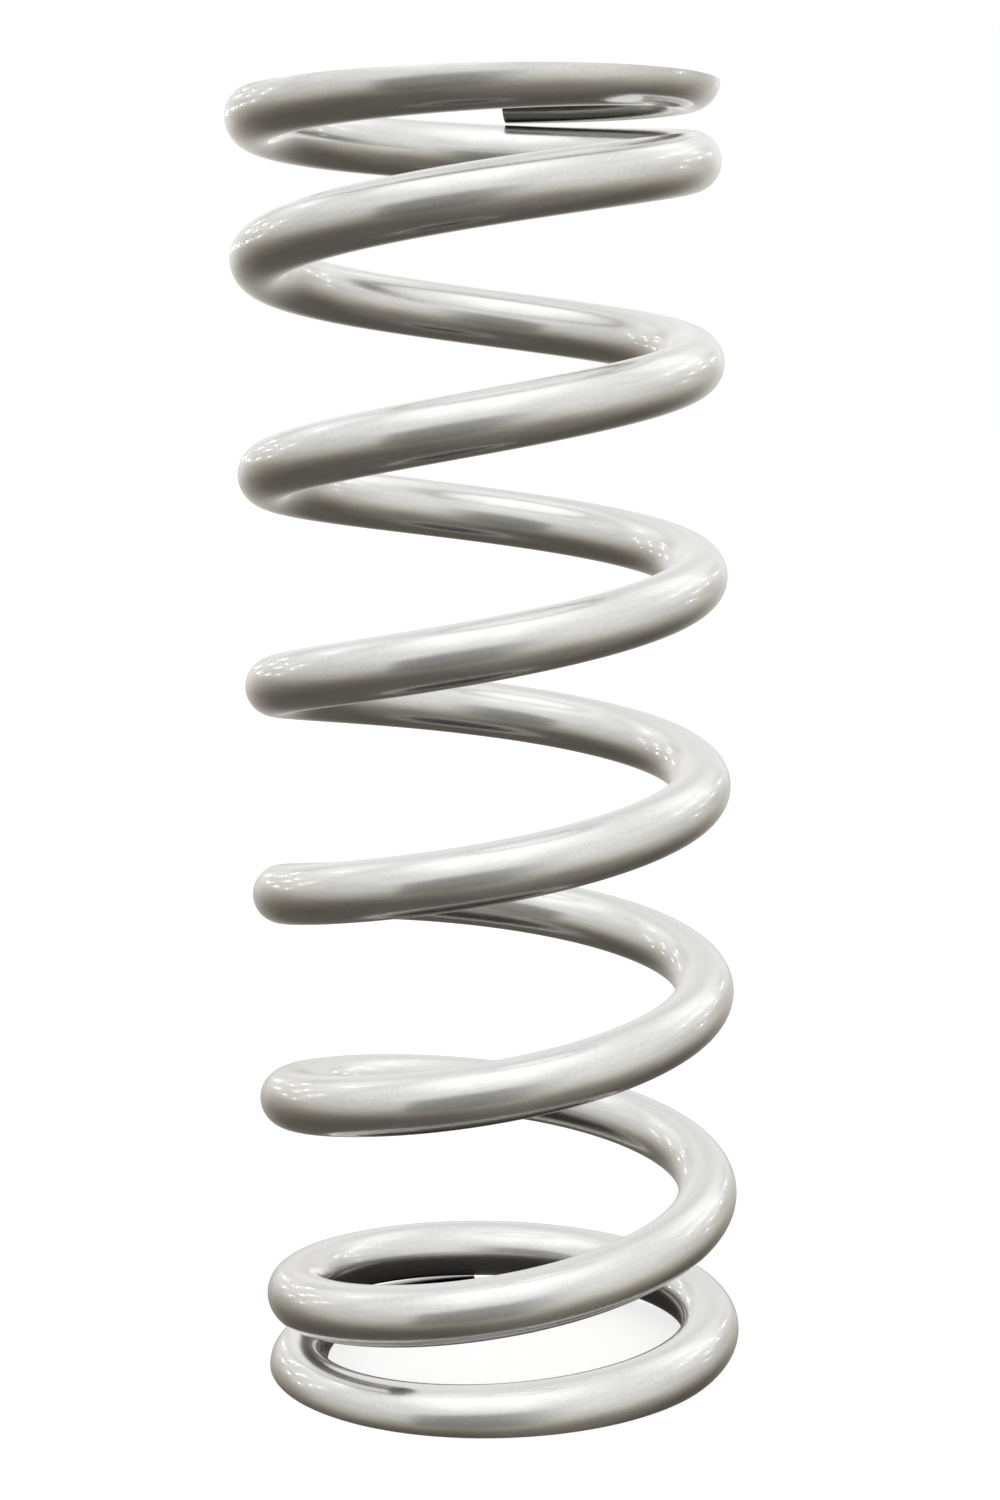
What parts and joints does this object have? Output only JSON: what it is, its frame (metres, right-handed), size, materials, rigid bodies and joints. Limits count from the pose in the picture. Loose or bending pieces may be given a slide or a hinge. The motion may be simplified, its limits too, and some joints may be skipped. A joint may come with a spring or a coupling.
{
  "type": "coil spring",
  "caption": "Right-hand compression coil spring of round silver-coated wire, closed and ground flat at both ends, for a coil-over damper.",
  "frame": {"origin": "centre of the bottom ground face, on the spring's axis", "axes": "+Z along the spring's axis towards the upper seat; -Y faces the viewer; +X to the viewer's right"},
  "size_m": [0.0855, 0.0854, 0.226],
  "materials": {
    "silver_coat": "glossy silver metallic powder coat"
  },
  "bodies": {
    "bottom_end": {"bottom_ground_coil": "silver_coat", "bottom_closing_coil": "silver_coat"},
    "coil_1_quarter_1": {"active_coil_1_quarter_1": "silver_coat"},
    "coil_1_quarter_2": {"active_coil_1_quarter_2": "silver_coat"},
    "coil_1_quarter_3": {"active_coil_1_quarter_3": "silver_coat"},
    "coil_1_quarter_4": {"active_coil_1_quarter_4": "silver_coat"},
    "coil_2_quarter_1": {"active_coil_2_quarter_1": "silver_coat"},
    "coil_2_quarter_2": {"active_coil_2_quarter_2": "silver_coat"},
    "coil_2_quarter_3": {"active_coil_2_quarter_3": "silver_coat"},
    "coil_2_quarter_4": {"active_coil_2_quarter_4": "silver_coat"},
    "coil_3_quarter_1": {"active_coil_3_quarter_1": "silver_coat"},
    "coil_3_quarter_2": {"active_coil_3_quarter_2": "silver_coat"},
    "coil_3_quarter_3": {"active_coil_3_quarter_3": "silver_coat"},
    "coil_3_quarter_4": {"active_coil_3_quarter_4": "silver_coat"},
    "coil_4_quarter_1": {"active_coil_4_quarter_1": "silver_coat"},
    "coil_4_quarter_2": {"active_coil_4_quarter_2": "silver_coat"},
    "coil_4_quarter_3": {"active_coil_4_quarter_3": "silver_coat"},
    "coil_4_quarter_4": {"active_coil_4_quarter_4": "silver_coat"},
    "coil_5_quarter_1": {"active_coil_5_quarter_1": "silver_coat"},
    "coil_5_quarter_2": {"active_coil_5_quarter_2": "silver_coat"},
    "coil_5_quarter_3": {"active_coil_5_quarter_3": "silver_coat"},
    "coil_5_quarter_4": {"active_coil_5_quarter_4": "silver_coat"},
    "top_end": {"top_closing_coil": "silver_coat", "top_ground_coil": "silver_coat"}
  },
  "joints": [
    {"name": "squeeze_1", "type": "slide", "parent": "bottom_end", "child": "coil_1_quarter_1", "axis": [0, 0, -1], "range_m": [0, 0.0057], "stiffness_N_per_m": 1000000},
    {"name": "squeeze_2", "type": "slide", "parent": "coil_1_quarter_1", "child": "coil_1_quarter_2", "axis": [0, 0, -1], "range_m": [0, 0.0057], "stiffness_N_per_m": 1000000},
    {"name": "squeeze_3", "type": "slide", "parent": "coil_1_quarter_2", "child": "coil_1_quarter_3", "axis": [0, 0, -1], "range_m": [0, 0.0057], "stiffness_N_per_m": 1000000},
    {"name": "squeeze_4", "type": "slide", "parent": "coil_1_quarter_3", "child": "coil_1_quarter_4", "axis": [0, 0, -1], "range_m": [0, 0.0057], "stiffness_N_per_m": 1000000},
    {"name": "squeeze_5", "type": "slide", "parent": "coil_1_quarter_4", "child": "coil_2_quarter_1", "axis": [0, 0, -1], "range_m": [0, 0.0057], "stiffness_N_per_m": 1000000},
    {"name": "squeeze_6", "type": "slide", "parent": "coil_2_quarter_1", "child": "coil_2_quarter_2", "axis": [0, 0, -1], "range_m": [0, 0.0057], "stiffness_N_per_m": 1000000},
    {"name": "squeeze_7", "type": "slide", "parent": "coil_2_quarter_2", "child": "coil_2_quarter_3", "axis": [0, 0, -1], "range_m": [0, 0.0057], "stiffness_N_per_m": 1000000},
    {"name": "squeeze_8", "type": "slide", "parent": "coil_2_quarter_3", "child": "coil_2_quarter_4", "axis": [0, 0, -1], "range_m": [0, 0.0057], "stiffness_N_per_m": 1000000},
    {"name": "squeeze_9", "type": "slide", "parent": "coil_2_quarter_4", "child": "coil_3_quarter_1", "axis": [0, 0, -1], "range_m": [0, 0.0057], "stiffness_N_per_m": 1000000},
    {"name": "squeeze_10", "type": "slide", "parent": "coil_3_quarter_1", "child": "coil_3_quarter_2", "axis": [0, 0, -1], "range_m": [0, 0.0057], "stiffness_N_per_m": 1000000},
    {"name": "squeeze_11", "type": "slide", "parent": "coil_3_quarter_2", "child": "coil_3_quarter_3", "axis": [0, 0, -1], "range_m": [0, 0.0057], "stiffness_N_per_m": 1000000},
    {"name": "squeeze_12", "type": "slide", "parent": "coil_3_quarter_3", "child": "coil_3_quarter_4", "axis": [0, 0, -1], "range_m": [0, 0.0057], "stiffness_N_per_m": 1000000},
    {"name": "squeeze_13", "type": "slide", "parent": "coil_3_quarter_4", "child": "coil_4_quarter_1", "axis": [0, 0, -1], "range_m": [0, 0.0057], "stiffness_N_per_m": 1000000},
    {"name": "squeeze_14", "type": "slide", "parent": "coil_4_quarter_1", "child": "coil_4_quarter_2", "axis": [0, 0, -1], "range_m": [0, 0.0057], "stiffness_N_per_m": 1000000},
    {"name": "squeeze_15", "type": "slide", "parent": "coil_4_quarter_2", "child": "coil_4_quarter_3", "axis": [0, 0, -1], "range_m": [0, 0.0057], "stiffness_N_per_m": 1000000},
    {"name": "squeeze_16", "type": "slide", "parent": "coil_4_quarter_3", "child": "coil_4_quarter_4", "axis": [0, 0, -1], "range_m": [0, 0.0057], "stiffness_N_per_m": 1000000},
    {"name": "squeeze_17", "type": "slide", "parent": "coil_4_quarter_4", "child": "coil_5_quarter_1", "axis": [0, 0, -1], "range_m": [0, 0.0057], "stiffness_N_per_m": 1000000},
    {"name": "squeeze_18", "type": "slide", "parent": "coil_5_quarter_1", "child": "coil_5_quarter_2", "axis": [0, 0, -1], "range_m": [0, 0.0057], "stiffness_N_per_m": 1000000},
    {"name": "squeeze_19", "type": "slide", "parent": "coil_5_quarter_2", "child": "coil_5_quarter_3", "axis": [0, 0, -1], "range_m": [0, 0.0057], "stiffness_N_per_m": 1000000},
    {"name": "squeeze_20", "type": "slide", "parent": "coil_5_quarter_3", "child": "coil_5_quarter_4", "axis": [0, 0, -1], "range_m": [0, 0.0057], "stiffness_N_per_m": 1000000},
    {"name": "squeeze_21", "type": "slide", "parent": "coil_5_quarter_4", "child": "top_end", "axis": [0, 0, -1], "range_m": [0, 0.0057], "stiffness_N_per_m": 1000000}
  ],
  "couplings": [
    {"joint": "squeeze_2", "follows": "squeeze_1", "ratio": 1},
    {"joint": "squeeze_3", "follows": "squeeze_1", "ratio": 1},
    {"joint": "squeeze_4", "follows": "squeeze_1", "ratio": 1},
    {"joint": "squeeze_5", "follows": "squeeze_1", "ratio": 1},
    {"joint": "squeeze_6", "follows": "squeeze_1", "ratio": 1},
    {"joint": "squeeze_7", "follows": "squeeze_1", "ratio": 1},
    {"joint": "squeeze_8", "follows": "squeeze_1", "ratio": 1},
    {"joint": "squeeze_9", "follows": "squeeze_1", "ratio": 1},
    {"joint": "squeeze_10", "follows": "squeeze_1", "ratio": 1},
    {"joint": "squeeze_11", "follows": "squeeze_1", "ratio": 1},
    {"joint": "squeeze_12", "follows": "squeeze_1", "ratio": 1},
    {"joint": "squeeze_13", "follows": "squeeze_1", "ratio": 1},
    {"joint": "squeeze_14", "follows": "squeeze_1", "ratio": 1},
    {"joint": "squeeze_15", "follows": "squeeze_1", "ratio": 1},
    {"joint": "squeeze_16", "follows": "squeeze_1", "ratio": 1},
    {"joint": "squeeze_17", "follows": "squeeze_1", "ratio": 1},
    {"joint": "squeeze_18", "follows": "squeeze_1", "ratio": 1},
    {"joint": "squeeze_19", "follows": "squeeze_1", "ratio": 1},
    {"joint": "squeeze_20", "follows": "squeeze_1", "ratio": 1},
    {"joint": "squeeze_21", "follows": "squeeze_1", "ratio": 1}
  ]
}
